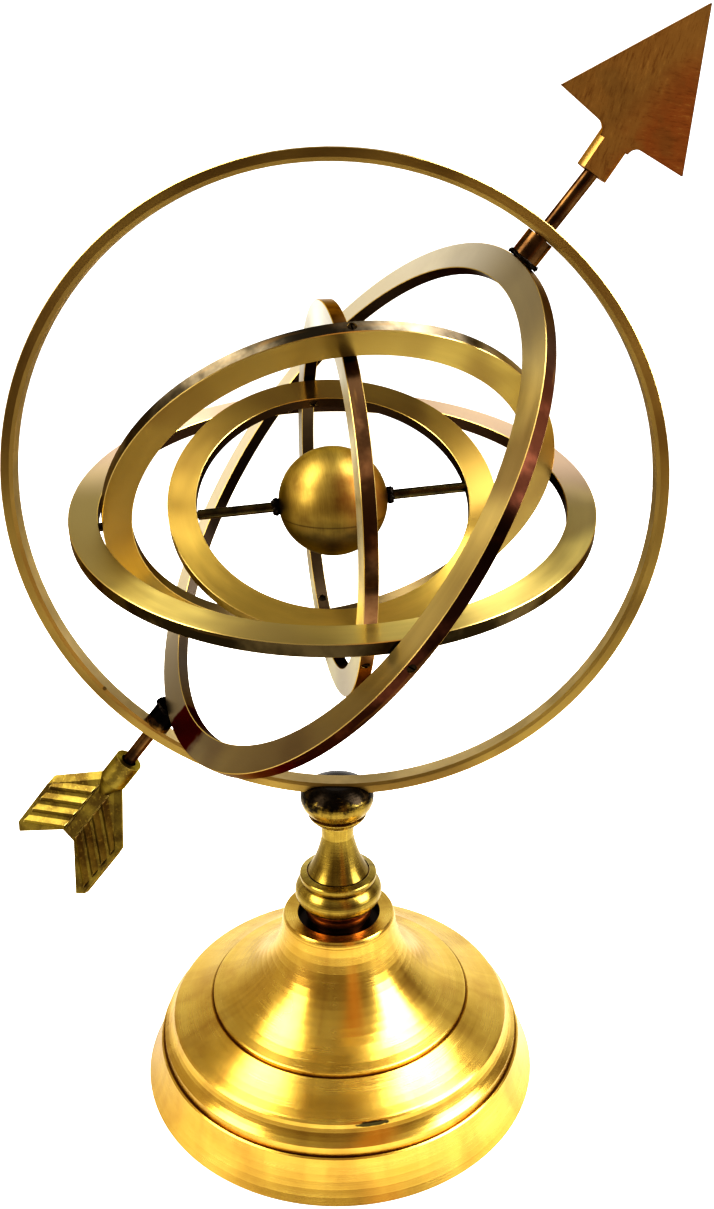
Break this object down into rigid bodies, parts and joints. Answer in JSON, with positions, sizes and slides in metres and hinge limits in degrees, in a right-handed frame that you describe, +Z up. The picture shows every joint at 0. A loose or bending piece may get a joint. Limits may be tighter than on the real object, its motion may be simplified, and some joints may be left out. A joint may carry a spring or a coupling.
{
  "type": "armillary sphere",
  "caption": "Armillary sphere on a turned brass stand: nested rings that pivot inside one another around a centre ball, with an arrow along the axis of the largest turning ring.",
  "frame": {"origin": "on the table, under the middle of the base", "axes": "+Z up along the stand; the outer hoop and the arrow lie in the X-Z plane with the arrow pointing to +X and up; -Y is the front"},
  "size_m": [0.2637, 0.2094, 0.4292],
  "materials": {
    "base_brass": "spun and circular brushed, bright",
    "stem_brass": "turned antique brass, satin",
    "stem_dark": "dark oxidised brass",
    "hoop_brass": "antique brass, satin",
    "ring_brass": "brushed antique brass, worn bright at the edges",
    "ball_brass": "brushed antique brass",
    "head_bronze": "brown patina with fine scratches",
    "tail_brass": "cast brass, satin",
    "rod_bronze": "dark antique brass, polished",
    "braze_black": "blackened braze",
    "screw_dark": "blackened steel",
    "steel": "zinc plated",
    "felt": "dark green felt"
  },
  "bodies": {
    "stand": {"base_shell": "base_brass", "base_pad": "felt", "stem_collar": "stem_dark", "stem_bead": "stem_brass", "stem_neck": "stem_brass", "stem_knob": "stem_brass", "tie_rod": "steel", "tie_washer": "steel", "tie_nut": "steel", "outer_hoop": "hoop_brass"},
    "ring_2_body": {"ring_2": "ring_brass", "pivots_2_3": "screw_dark", "upper_rod": "rod_bronze", "lower_rod": "rod_bronze", "upper_sleeve": "rod_bronze", "lower_sleeve": "rod_bronze", "sleeve_braze": "braze_black", "arrow_head": "head_bronze", "arrow_tail": "tail_brass"},
    "ring_3_body": {"ring_3": "ring_brass", "pivots_3_4": "screw_dark"},
    "ring_4_body": {"ring_4": "ring_brass", "pivots_4_5": "screw_dark"},
    "ring_5_body": {"ring_5": "ring_brass", "pivots_5_6": "screw_dark"},
    "ring_6_body": {"ring_6": "ring_brass"},
    "ball_body": {"ball": "ball_brass", "ball_rod": "rod_bronze", "ball_braze": "braze_black"}
  },
  "joints": [
    {"name": "arrow_turn", "type": "hinge", "parent": "stand", "child": "ring_2_body", "pos_m": [0, 0, 0.262], "axis": [0.6101, 0, 0.7923], "continuous": true},
    {"name": "ring_3_turn", "type": "hinge", "parent": "ring_2_body", "child": "ring_3_body", "pos_m": [0, 0, 0.262], "axis": [-0.2579, 0.9455, 0.1986], "continuous": true},
    {"name": "ring_4_turn", "type": "hinge", "parent": "ring_3_body", "child": "ring_4_body", "pos_m": [0, 0, 0.262], "axis": [-0.9661, -0.2548, -0.0417], "continuous": true},
    {"name": "ring_5_turn", "type": "hinge", "parent": "ring_4_body", "child": "ring_5_body", "pos_m": [0, 0, 0.262], "axis": [-0.107, 0.5421, -0.8335], "continuous": true},
    {"name": "ring_6_turn", "type": "hinge", "parent": "ring_5_body", "child": "ring_6_body", "pos_m": [0, 0, 0.262], "axis": [-0.1841, 0.813, 0.5524], "continuous": true},
    {"name": "ball_turn", "type": "hinge", "parent": "ring_6_body", "child": "ball_body", "pos_m": [0, 0, 0.262], "axis": [0.9813, 0.1839, 0.0564], "continuous": true}
  ]
}
